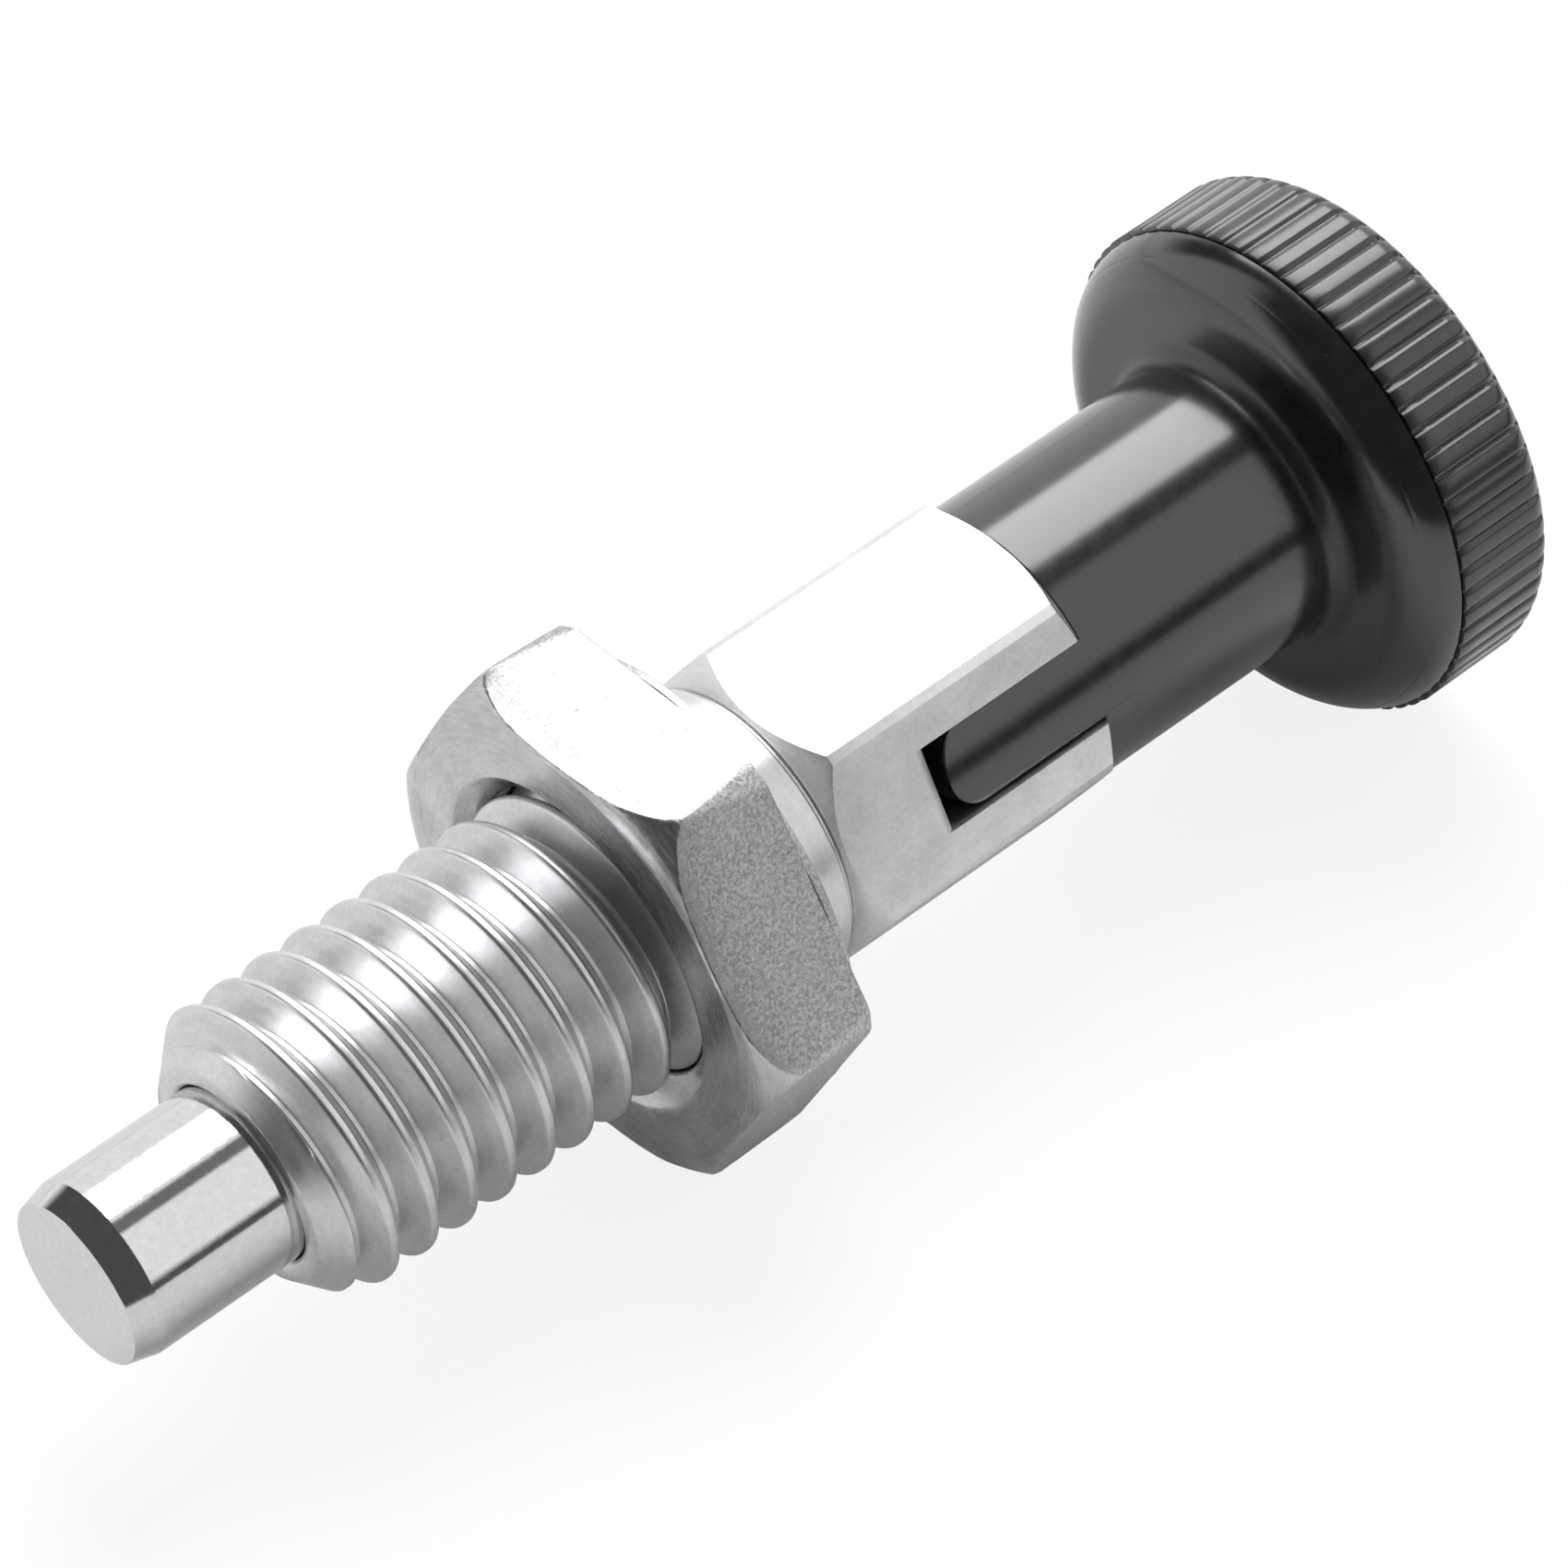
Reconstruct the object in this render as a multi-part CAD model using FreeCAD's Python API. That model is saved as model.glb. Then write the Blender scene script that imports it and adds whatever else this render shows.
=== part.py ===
"""Indexing plunger with a rest position, its lock nut and a fluted pull knob.

Millimetres. The origin is on the plunger's axis at the front face of the threaded body.
+X points along the axis to the knob, +Z is up with the part lying on a flat of its lock nut.
"""
import FreeCAD, Part
import os
from math import cos, pi, radians, sin, tan

Vector = FreeCAD.Vector

# The axis that everything is turned on
ORIGIN = Vector(0, 0, 0)
AXIS = Vector(1, 0, 0)

# Threaded body: M10 x 1.5 stud, then a hexagon with the knob's slot
THREAD_RADIUS = 5.0
THREAD_PITCH = 1.5
THREAD_DEPTH = 0.92
THREAD_CREST = 0.26
THREAD_FLANK = 30.0
THREAD_START = 1.5
THREAD_SIDES = 18
RELIEF_WIDTH = 1.3
RELIEF_DEPTH = 0.98
FRONT_CHAMFER = 1.3
STUD_LENGTH = 20.0
COLLAR_LENGTH = 2.1
NECK_WIDTH = 0.25
NECK_DEPTH = 0.2
HEX_FLATS = 10.0
HEX_LENGTH = 10.3
HEX_TURN = 5.5
HEX_CORNER_RADIUS = 5.68
HEX_START_RADIUS = 4.9
HEX_END_CHAMFER = 0.66
HEX_END_RUN = 0.48

# Bores of the body
GUIDE_LENGTH = 6.0
GUIDE_CLEARANCE = 0.03
MOUTH_CHAMFER = 0.3
CHAMBER_RADIUS = 3.5
CHAMBER_MOUTH = 0.2

# Slot that keys the knob
SLOT_WIDTH = 2.95
SLOT_DEPTH = 6.4
SLOT_BEVEL = 0.4
SLOT_FLAT = 60.0

# Indexing pin, one turned piece with its shoulder and rod
PIN_RADIUS = 3.0
PIN_REACH = 6.0
TIP_CHAMFER_LENGTH = 0.95
TIP_CHAMFER_DEPTH = 0.25
SHOULDER_LENGTH = 2.0
SHOULDER_CLEARANCE = 0.1
SEAT_GAP = 0.02
ROD_RADIUS = 1.5
ROD_GRIP = 10.5
EDGE_BREAK = 0.2
UNDERCUT_START = 0.05
UNDERCUT_LENGTH = 2.0
UNDERCUT_DEPTH = 0.2

# Bush that closes the spring chamber
BUSH_LENGTH = 2.4
BUSH_SETBACK = 0.4
BUSH_CLEARANCE = 0.1

# Spring
WIRE_RADIUS = 0.4
SPRING_RADIUS = 2.55
SPRING_TURNS = 4
SPRING_END_GAP = 0.05
WIRE_SIDES = 6
WIRE_STEPS = 16

# Lock nut
NUT_FLATS = 15.4
NUT_THICKNESS = 4.6
NUT_FRONT = 13.05
NUT_CLEARANCE = 0.06
NUT_FACE_RADIUS = 7.62
NUT_CHAMFER_ANGLE = 30.0
NUT_CHAMFER_WIDTH = 0.65
NUT_EDGE_LENGTH = 0.85
NUT_REAR_CORNER = 8.65
NUT_WASHER_RADIUS = 7.55
NUT_WASHER_STEP = 0.35
NUT_SINK_RADIUS = 5.85
NUT_SINK_DEPTH = 0.75

# Knob
KNOB_GAP = 0.12
SHANK_RADIUS = 4.9
SHANK_LENGTH = 9.35
HUB_CLEARANCE = 0.1
TONGUE_CLEARANCE = 0.075
TONGUE_END_GAP = 0.45
TONGUE_TIP_RADIUS = 1.2
FLARE_RADIUS = 0.65
HEAD_LENGTH = 6.0
HEAD_RADIUS = 8.79
HEAD_ROUND = 1.87
HEAD_DISH = 0.05
FAR_ROUND = 1.6
FLUTE_COUNT = 66
FLUTE_DEPTH = 0.26
FLUTE_SHARE = 0.5
ROUND_STEPS = 2
FLARE_STEPS = 3

# Facets of the thread and the spring
MESH_TOLERANCE = 0.001
FACET_STEP = 0.02

# Places along the axis that several pieces share
THREAD_END = STUD_LENGTH - COLLAR_LENGTH - RELIEF_WIDTH
HEX_END = STUD_LENGTH + HEX_LENGTH
SLOT_BOTTOM = HEX_END - SLOT_DEPTH
BUSH_REAR = SLOT_BOTTOM - BUSH_SETBACK
BUSH_FRONT = BUSH_REAR - BUSH_LENGTH
SHOULDER_FRONT = GUIDE_LENGTH + SEAT_GAP
SHOULDER_REAR = SHOULDER_FRONT + SHOULDER_LENGTH
KNOB_FRONT = HEX_END + KNOB_GAP
SHANK_END = KNOB_FRONT + SHANK_LENGTH
FLARE_END = SHANK_END + FLARE_RADIUS
HEAD_FRONT = FLARE_END + HEAD_DISH
KNOB_END = HEAD_FRONT + HEAD_LENGTH
TONGUE_TIP = SLOT_BOTTOM + TONGUE_END_GAP
ROD_END = KNOB_FRONT + ROD_GRIP


def turned(outline):
    """A solid of revolution from a closed outline of (place, radius) points."""
    points = [Vector(place, 0, radius) for place, radius in outline]
    face = Part.Face(Part.makePolygon(points + [points[0]]))
    return face.revolve(ORIGIN, AXIS, 360)


def rod(start, end, radius):
    return Part.makeCylinder(radius, end - start, Vector(start, 0, 0), AXIS)


def hexagon(start, end, flats, turn):
    """A six-sided bar with a flat facing up before it is turned about the axis."""
    corner = flats / 2 / cos(pi / 6)
    points = []
    for side in range(6):
        angle = radians(60 * side + turn)
        points.append(Vector(start, corner * cos(angle), corner * sin(angle)))
    face = Part.Face(Part.makePolygon(points + [points[0]]))
    return face.extrude(Vector(end - start, 0, 0))


def faceted(points, facets):
    """A solid from the three-cornered facets that close it."""
    skin = Part.Shape()
    skin.makeShapeFromMesh((points, facets), MESH_TOLERANCE)
    return Part.Solid(skin.Shells[0])


def crossed(a, b, c, d):
    """The two facets of a four-cornered patch, without those that have no width."""
    return [facet for facet in ((a, b, c), (a, c, d)) if len(set(facet)) == 3]


def stud_limit(place):
    """The stud's radius over its thread's crests: the front chamfer, then the slope into the relief."""
    front = THREAD_RADIUS - FRONT_CHAMFER + place
    rear = THREAD_RADIUS - 2 * (place - THREAD_END)
    return min(THREAD_RADIUS, front, rear)


def thread_corners():
    """One pitch of the thread as (place, radius): the crest's two edges, then the root's."""
    half_crest = THREAD_CREST / 2
    flank = THREAD_DEPTH * tan(radians(THREAD_FLANK))
    root = THREAD_RADIUS - THREAD_DEPTH
    return [
        (-half_crest, THREAD_RADIUS),
        (half_crest, THREAD_RADIUS),
        (half_crest + flank, root),
        (THREAD_PITCH - half_crest - flank, root),
    ]


def helical_thread():
    """The right-hand thread on the stud's bar, in flat facets, from the front face to the relief."""
    end = THREAD_END + RELIEF_DEPTH / 2
    corners = thread_corners()
    rows = len(corners) * (int(end / THREAD_PITCH) + 4)
    points = []
    numbers = {}

    def corner_number(step, row):
        turn, side = divmod(step, THREAD_SIDES)
        wrap, corner = divmod(row, len(corners))
        offset, radius = corners[corner]
        place = THREAD_START + THREAD_PITCH * (side / THREAD_SIDES + turn + wrap - 3) + offset
        place = min(max(place, 0), end)
        key = (side, round(place, 6))
        if key not in numbers:
            angle = 2 * pi * side / THREAD_SIDES
            radius = min(radius, stud_limit(place))
            numbers[key] = len(points)
            points.append((place, -radius * sin(angle), radius * cos(angle)))
        return numbers[key]

    facets = []
    for step in range(THREAD_SIDES):
        for row in range(rows):
            facets += crossed(
                corner_number(step, row),
                corner_number(step + 1, row),
                corner_number(step + 1, row + 1),
                corner_number(step, row + 1),
            )
    for place, turn in ((0, 1), (end, -1)):
        middle = len(points)
        points.append((place, 0, 0))
        for side in range(THREAD_SIDES):
            here = numbers[(side, round(place, 6))]
            after = numbers[((side + 1) % THREAD_SIDES, round(place, 6))]
            facets.append((middle, here, after)[::turn])
    return faceted(points, facets)


def stud_rear():
    """The thread's relief, the plain collar behind it and the neck before the hexagon."""
    relief_radius = THREAD_RADIUS - RELIEF_DEPTH + FACET_STEP
    relief_end = THREAD_END + RELIEF_WIDTH
    neck_start = STUD_LENGTH - NECK_WIDTH
    neck_radius = THREAD_RADIUS - NECK_DEPTH
    return turned([
        (THREAD_END + RELIEF_DEPTH / 2, 0),
        (THREAD_END + RELIEF_DEPTH / 2, relief_radius),
        (relief_end - RELIEF_DEPTH / 2, relief_radius),
        (relief_end, THREAD_RADIUS),
        (neck_start, THREAD_RADIUS),
        (neck_start + NECK_DEPTH / 2, neck_radius),
        (STUD_LENGTH, neck_radius),
        (STUD_LENGTH, 0),
    ])


def hexagon_head():
    """The hexagon, its corners turned to a land and both its ends chamfered."""
    corner_rise = HEX_CORNER_RADIUS - HEX_START_RADIUS
    envelope = turned([
        (STUD_LENGTH, 0),
        (STUD_LENGTH, HEX_START_RADIUS),
        (STUD_LENGTH + corner_rise, HEX_CORNER_RADIUS),
        (HEX_END - HEX_END_RUN, HEX_CORNER_RADIUS),
        (HEX_END, HEX_CORNER_RADIUS - HEX_END_CHAMFER),
        (HEX_END, 0),
    ])
    return hexagon(STUD_LENGTH, HEX_END, HEX_FLATS, HEX_TURN).common(envelope)


def body_bores():
    """The pin's guide with its chamfered mouth, and the spring chamber behind it."""
    guide_radius = PIN_RADIUS + GUIDE_CLEARANCE
    return turned([
        (0, 0),
        (0, guide_radius + MOUTH_CHAMFER),
        (MOUTH_CHAMFER, guide_radius),
        (GUIDE_LENGTH, guide_radius),
        (GUIDE_LENGTH, CHAMBER_RADIUS),
        (HEX_END - CHAMBER_MOUTH, CHAMBER_RADIUS),
        (HEX_END, CHAMBER_RADIUS + CHAMBER_MOUTH),
        (HEX_END, 0),
    ])


def knob_slot():
    """The slot across the hexagon, with a bevel where its bottom meets each flat."""
    reach = HEX_FLATS / 2 + SLOT_BEVEL
    outline = [
        (SLOT_BOTTOM - SLOT_BEVEL, reach),
        (SLOT_BOTTOM - SLOT_BEVEL, HEX_FLATS / 2),
        (SLOT_BOTTOM, HEX_FLATS / 2 - SLOT_BEVEL),
        (SLOT_BOTTOM, SLOT_BEVEL - HEX_FLATS / 2),
        (SLOT_BOTTOM - SLOT_BEVEL, -HEX_FLATS / 2),
        (SLOT_BOTTOM - SLOT_BEVEL, -reach),
        (HEX_END + SLOT_BEVEL, -reach),
        (HEX_END + SLOT_BEVEL, reach),
    ]
    points = [Vector(place, -SLOT_WIDTH / 2, height) for place, height in outline]
    slot = Part.Face(Part.makePolygon(points + [points[0]])).extrude(Vector(0, SLOT_WIDTH, 0))
    slot.rotate(ORIGIN, AXIS, HEX_TURN + SLOT_FLAT)
    return slot


def threaded_body():
    solid = stud_rear().fuse([hexagon_head(), helical_thread()])
    solid = solid.cut(body_bores())
    return solid.cut(knob_slot())


def lock_nut():
    """Thin nut: rounded front chamfer, corners that taper to the rear, a washer face and a countersunk bore."""
    rear = NUT_FRONT + NUT_THICKNESS
    seat = rear - NUT_WASHER_STEP
    corner = NUT_FLATS / 2 / cos(pi / 6)
    shoulder_radius = NUT_FACE_RADIUS + NUT_CHAMFER_WIDTH
    shoulder = NUT_FRONT + NUT_CHAMFER_WIDTH * tan(radians(NUT_CHAMFER_ANGLE))
    envelope = turned([
        (NUT_FRONT, 0),
        (NUT_FRONT, NUT_FACE_RADIUS),
        (shoulder, shoulder_radius),
        (shoulder + NUT_EDGE_LENGTH * 0.4, shoulder_radius + (corner - shoulder_radius) * 0.6),
        (shoulder + NUT_EDGE_LENGTH, corner),
        (seat, NUT_REAR_CORNER),
        (seat, 0),
    ])
    blank = hexagon(NUT_FRONT, seat, NUT_FLATS, 0).common(envelope)
    blank = blank.fuse(rod(seat, rear, NUT_WASHER_RADIUS))
    bore_radius = THREAD_RADIUS + NUT_CLEARANCE
    bore = turned([
        (NUT_FRONT, 0),
        (NUT_FRONT, NUT_SINK_RADIUS),
        (NUT_FRONT + NUT_SINK_DEPTH, bore_radius),
        (rear, bore_radius),
        (rear, 0),
    ])
    return blank.cut(bore)


def index_pin():
    """The pin, ground back where its guide begins, its stop shoulder, and the rod that the knob grips."""
    shoulder_radius = CHAMBER_RADIUS - SHOULDER_CLEARANCE
    return turned([
        (-PIN_REACH, 0),
        (-PIN_REACH, PIN_RADIUS - TIP_CHAMFER_DEPTH),
        (TIP_CHAMFER_LENGTH - PIN_REACH, PIN_RADIUS),
        (-UNDERCUT_START, PIN_RADIUS),
        (-UNDERCUT_START, PIN_RADIUS - UNDERCUT_DEPTH),
        (UNDERCUT_LENGTH - UNDERCUT_START, PIN_RADIUS - UNDERCUT_DEPTH),
        (UNDERCUT_LENGTH - UNDERCUT_START, PIN_RADIUS),
        (SHOULDER_FRONT, PIN_RADIUS),
        (SHOULDER_FRONT, shoulder_radius),
        (SHOULDER_REAR, shoulder_radius),
        (SHOULDER_REAR, ROD_RADIUS),
        (ROD_END - EDGE_BREAK, ROD_RADIUS),
        (ROD_END, ROD_RADIUS - EDGE_BREAK),
        (ROD_END, 0),
    ])


def spring_retainer():
    """A plain bush pressed into the chamber, with a running hole for the rod."""
    hole = ROD_RADIUS + BUSH_CLEARANCE
    return turned([
        (BUSH_FRONT, hole),
        (BUSH_FRONT, CHAMBER_RADIUS - EDGE_BREAK),
        (BUSH_FRONT + EDGE_BREAK, CHAMBER_RADIUS),
        (BUSH_REAR, CHAMBER_RADIUS),
        (BUSH_REAR, hole),
    ])


def spring():
    """A helix of round wire, in flat facets, between the shoulder and the bush."""
    start = SHOULDER_REAR + WIRE_RADIUS + SPRING_END_GAP
    end = BUSH_FRONT - WIRE_RADIUS - SPRING_END_GAP
    steps = SPRING_TURNS * WIRE_STEPS
    points = []
    for step in range(steps + 1):
        angle = 2 * pi * step / WIRE_STEPS
        middle = start + (end - start) * step / steps
        for side in range(WIRE_SIDES):
            lean = 2 * pi * side / WIRE_SIDES
            radius = SPRING_RADIUS + WIRE_RADIUS * cos(lean)
            place = middle + WIRE_RADIUS * sin(lean)
            points.append((place, -radius * sin(angle), radius * cos(angle)))
    facets = []
    for step in range(steps):
        for side in range(WIRE_SIDES):
            here = step * WIRE_SIDES + side
            beside = step * WIRE_SIDES + (side + 1) % WIRE_SIDES
            facets += crossed(here, beside, beside + WIRE_SIDES, here + WIRE_SIDES)
    last = steps * WIRE_SIDES
    for side in range(1, WIRE_SIDES - 1):
        facets.append((0, side + 1, side))
        facets.append((last, last + side, last + side + 1))
    return faceted(points, facets)


def quarter(middle_place, middle_radius, radius, start, steps):
    """Points of a quarter circle about a middle, in equal steps from a start angle."""
    points = []
    for step in range(steps + 1):
        angle = radians(start - 90 * step / steps)
        points.append((middle_place + radius * cos(angle), middle_radius + radius * sin(angle)))
    return points


def knob_shank():
    """The hub in the chamber, the round shank and the flare that leads into the head."""
    hub_radius = CHAMBER_RADIUS - HUB_CLEARANCE
    outline = [
        (TONGUE_TIP, 0),
        (TONGUE_TIP, hub_radius),
        (KNOB_FRONT, hub_radius),
        (KNOB_FRONT, SHANK_RADIUS),
    ]
    for step in range(FLARE_STEPS + 1):
        angle = pi / 2 * step / FLARE_STEPS
        place = SHANK_END + FLARE_RADIUS * sin(angle)
        outline.append((place, SHANK_RADIUS + FLARE_RADIUS * (1 - cos(angle))))
    head_shoulder = HEAD_RADIUS - HEAD_ROUND
    outline.append((HEAD_FRONT, head_shoulder))
    outline.append((HEAD_FRONT + HEAD_ROUND, head_shoulder))
    outline.append((HEAD_FRONT + HEAD_ROUND, 0))
    return turned(outline)


def knob_head():
    """The straight-fluted head, rounded under its rim and over its far edge."""
    pitch = 2 * pi / FLUTE_COUNT
    land = pitch * (1 - FLUTE_SHARE) / 2
    points = []
    for rib in range(FLUTE_COUNT):
        middle = pitch * rib
        points.append((HEAD_RADIUS, middle - land))
        points.append((HEAD_RADIUS, middle + land))
        points.append((HEAD_RADIUS - FLUTE_DEPTH, middle + pitch / 2))
    ring = [Vector(HEAD_FRONT, radius * cos(angle), radius * sin(angle)) for radius, angle in points]
    ribs = Part.Face(Part.makePolygon(ring + [ring[0]])).extrude(Vector(HEAD_LENGTH, 0, 0))
    outline = [(HEAD_FRONT, 0)]
    outline += quarter(HEAD_FRONT + HEAD_ROUND, HEAD_RADIUS - HEAD_ROUND, HEAD_ROUND, 180, ROUND_STEPS)
    outline += quarter(KNOB_END - FAR_ROUND, HEAD_RADIUS - FAR_ROUND, FAR_ROUND, 90, ROUND_STEPS)
    outline.append((KNOB_END, 0))
    return ribs.common(turned(outline))


def knob_tongues():
    """The key across the knob's front that sits in the slot, one tongue each side of the hub."""
    width = SLOT_WIDTH - 2 * TONGUE_CLEARANCE
    end = KNOB_FRONT + SHANK_LENGTH / 4
    bar = Part.makeBox(end - TONGUE_TIP, width, 2 * SHANK_RADIUS, Vector(TONGUE_TIP, -width / 2, -SHANK_RADIUS))
    tips = [edge for edge in bar.Edges if is_tip_edge(edge, width)]
    bar = bar.makeFillet(TONGUE_TIP_RADIUS, tips)
    bar = bar.common(rod(TONGUE_TIP, end, SHANK_RADIUS))
    bar.rotate(ORIGIN, AXIS, HEX_TURN + SLOT_FLAT)
    return bar


def is_tip_edge(edge, width):
    """True for the two edges of the key's bar at its tip that run across the plunger."""
    middle = edge.CenterOfMass
    at_tip = abs(middle.x - TONGUE_TIP) < TONGUE_CLEARANCE
    at_side = abs(abs(middle.y) - width / 2) < TONGUE_CLEARANCE
    return at_tip and at_side


def knob():
    solid = knob_shank().fuse([knob_head(), knob_tongues()])
    solid = solid.cut(rod(TONGUE_TIP, ROD_END, ROD_RADIUS))
    return solid.removeSplitter()


def write(name, shape):
    """Write one piece, as a plain solid where it is a single one."""
    if len(shape.Solids) == 1:
        shape = shape.Solids[0]
    shape.exportStep(os.path.join("parts", name + ".step"))
    print(name, "solids", len(shape.Solids), "valid", shape.isValid(), "volume", round(shape.Volume, 2))


os.makedirs("parts", exist_ok=True)
write("threaded_body", threaded_body())
write("lock_nut", lock_nut())
write("index_pin", index_pin())
write("spring_retainer", spring_retainer())
write("spring", spring())
write("knob", knob())
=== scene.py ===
"""The indexing plunger's looks: fine meshes over the CAD frame, its materials, the camera and the light.

Shapes are written in millimetres and scaled to metres as each piece is made.
X runs along the plunger's axis to the knob, and angles turn about it from +Z towards -Y.
"""

from math import acos, atan, atan2, ceil, cos, floor, pi, radians, sin, sqrt, tan

import bmesh
import bpy
from mathutils import Matrix, Vector


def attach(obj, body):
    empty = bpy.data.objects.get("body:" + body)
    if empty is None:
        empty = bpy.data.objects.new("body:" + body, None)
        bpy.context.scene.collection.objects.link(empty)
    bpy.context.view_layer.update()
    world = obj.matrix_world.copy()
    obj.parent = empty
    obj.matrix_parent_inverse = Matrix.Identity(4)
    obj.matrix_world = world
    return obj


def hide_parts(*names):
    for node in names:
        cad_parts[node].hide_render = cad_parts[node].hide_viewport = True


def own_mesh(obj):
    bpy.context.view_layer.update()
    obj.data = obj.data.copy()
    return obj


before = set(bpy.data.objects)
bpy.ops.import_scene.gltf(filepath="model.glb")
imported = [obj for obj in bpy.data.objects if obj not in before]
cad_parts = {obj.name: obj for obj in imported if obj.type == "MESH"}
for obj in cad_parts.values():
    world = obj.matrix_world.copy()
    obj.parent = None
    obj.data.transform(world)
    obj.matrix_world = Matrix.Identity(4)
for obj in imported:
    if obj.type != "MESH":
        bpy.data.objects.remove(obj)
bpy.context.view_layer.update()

MM = 0.001

# Camera, solved from the photograph
CAMERA_PLACE = (-76.44, -127.88, 163.82)
CAMERA_RIGHT = (0.74719, -0.66098, -0.06947)
CAMERA_UP = (0.50900, 0.50190, 0.69929)
CAMERA_FORWARD = (0.42736, 0.55787, -0.71145)
LENS = 172.75
SENSOR = 36.0
CLIP_NEAR = 0.01
CLIP_FAR = 10

# Stud
THREAD_RADIUS = 5.0
THREAD_PITCH = 1.5
THREAD_ROOT = 4.08
THREAD_CREST = 0.26
THREAD_FLANK = 30
THREAD_ROUND = 0.1
THREAD_START = 1.29
THREAD_START_ANGLE = -50.5
FRONT_CHAMFER = 1.3
THREAD_END = 16.6
RELIEF_END = 17.9
RELIEF_DEPTH = 0.98
RELIEF_RADIUS = THREAD_RADIUS - RELIEF_DEPTH
THREAD_STOP = RELIEF_END - RELIEF_DEPTH / 2
STUD_LENGTH = 20.0
NECK_WIDTH = 0.25
NECK_DEPTH = 0.2
GUIDE_RADIUS = 3.03
GUIDE_LENGTH = 6.0
MOUTH_CHAMFER = 0.12
CHAMBER_RADIUS = 3.5

# Hexagon with the knob's slot
HEX_FLATS = 10.0
HEX_END = 30.38
HEX_TURN = 5.5
HEX_CORNER_RADIUS = 5.68
HEX_START_RADIUS = 4.9
HEX_END_CHAMFER = 0.66
HEX_END_RUN = 0.48
HEX_BORE_CHAMFER = 0.2
SLOT_WIDTH = 2.95
SLOT_BOTTOM = 23.9
SLOT_BEVEL = 0.4
SLOT_BEVEL_DEPTH = 0.2
SLOT_ANGLE = 65.5
SLOT_PAST = 2

# Pin
PIN_RADIUS = 3.0
PIN_REACH = 6.0
PIN_EDGE = 0.035
TIP_CHAMFER_LENGTH = 0.95
TIP_CHAMFER_DEPTH = 0.25
UNDERCUT_PLACE = 0.4
UNDERCUT_LENGTH = 2.0
UNDERCUT_DEPTH = 0.2
SHOULDER_FRONT = 6.02
SHOULDER_REAR = 8.02
SHOULDER_RADIUS = 3.4
ROD_RADIUS = 1.5
ROD_END = 40.92

# Bush and spring
BUSH_FRONT = 21.1
BUSH_REAR = 23.5
BUSH_PLAY = 0.1
BUSH_CHAMFER = 0.2
WIRE_RADIUS = 0.4
SPRING_RADIUS = 2.55
SPRING_TURNS = 4
SPRING_GAP = 0.05

# Lock nut, its front chamfer's curve as (behind the front, radius)
NUT_FLATS = 15.4
NUT_FRONT = 13.05
NUT_REAR = 17.65
NUT_SEAT = 17.3
NUT_BORE = 5.06
NUT_SINK_RADIUS = 5.85
NUT_SINK_DEPTH = 0.75
NUT_WORN_RIM = 0.12
NUT_FACE_RADIUS = 7.62
NUT_FACE_INSET = 0.03
NUT_CHAMFER_CURVE = ((0, NUT_FACE_RADIUS), (0.1, 7.93), (0.2, 8.14), (0.4, 8.36), (0.62, 8.57), (0.92, 8.78),
                     (1.23, 8.89))
NUT_CHAMFER = [(NUT_FRONT + behind, radius) for behind, radius in NUT_CHAMFER_CURVE]
NUT_CHAMFER_DROP = 0.0175
NUT_CORNER_ROUND = 0.16
NUT_WASHER_RADIUS = 7.55
NUT_WASHER_STEP = 0.15
NUT_REAR_CORNER = 8.65
NUT_REAR_BEVEL = 0.06
NUT_REAR_SINK = 0.45

# Knob, its end's crown as (ahead of the end, radius)
KNOB_FRONT = 30.42
SHANK_RADIUS = 4.9
SHANK_END = 39.77
SHANK_EDGE = 0.12
SHANK_EDGE_END = 0.3
FLARE_RADIUS = 0.7
HUB_RADIUS = 3.4
HUB_IN = 0.1
HEAD_FRONT = 40.47
HEAD_RADIUS = 8.79
HEAD_FACE_INSET = 0.03
SHOULDER_ROUND = 2.0
SHOULDER_SWEEP = 77.9
SHOULDER_STOP = 1.5
PARTING_ANGLE = 48
PARTING_HALF = 0.6
PARTING_DEPTH = 0.006
RIM_STEP = 0.06
RIM_STEP_RUN = 0.01
RIB_START = 42.05
KNOB_END = 46.47
FAR_PLACE = 45.17
FAR_ROUND = 0.8
FAR_END = 15
RIB_RUN_OUT = 40
RIB_FADE = 10
END_CROWN = ((0.37, 7.4), (0.19, 6.4), (0.07, 5.2), (0, 3.5), (0, 0))
RIB_COUNT = 66
RIB_LAND = 0.62
RIB_CROWN = 0.015
RIB_TIP_DROP = 0.02
RIB_TIP_RUN = 0.03
RIB_PHASE = 0.1
GROOVE_DEPTH = 0.15

# Knob's tongues, their walls' levels as (above the shank's radius, drawn in)
TONGUE_TIP = 24.35
TONGUE_WIDTH = 2.8
TONGUE_TIP_RADIUS = 1.2
TONGUE_FOOT = HUB_RADIUS - 0.2
TONGUE_END = KNOB_FRONT + 1.5
TONGUE_LEVELS = ((-0.1, 0), (-0.02, 0.02), (0.004, 0.08))

# Mesh fineness
ROUND_COLUMNS = 192
SMALL_COLUMNS = 96
RIB_COLUMNS = 14
HEX_STEPS = 30
NUT_STEPS = 36
NUT_CHAMFER_STEPS = 8
WIRE_SIDES = 12
WIRE_STEPS = 40
TONGUE_STEPS = 12
TIP_STEPS = 8
THREAD_STEP = 0.07
THIRDS = (0.33, 0.67, 1)
QUARTERS = (0.25, 0.5, 0.75)
SOFT_EDGE = 0.05
ARC_SHARE = 0.35
ARC_SUPPORT = 1.4
ARC_LEAST = 1e-4
STRAIGHT = 176
POINT_JOIN = 0.0005
CUT_JOIN = 0.001
CUT_FLAT = 0.5
CUT_EDGE = 28
CUT_SEGMENTS = 2
CUT_SHARP = 24

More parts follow.
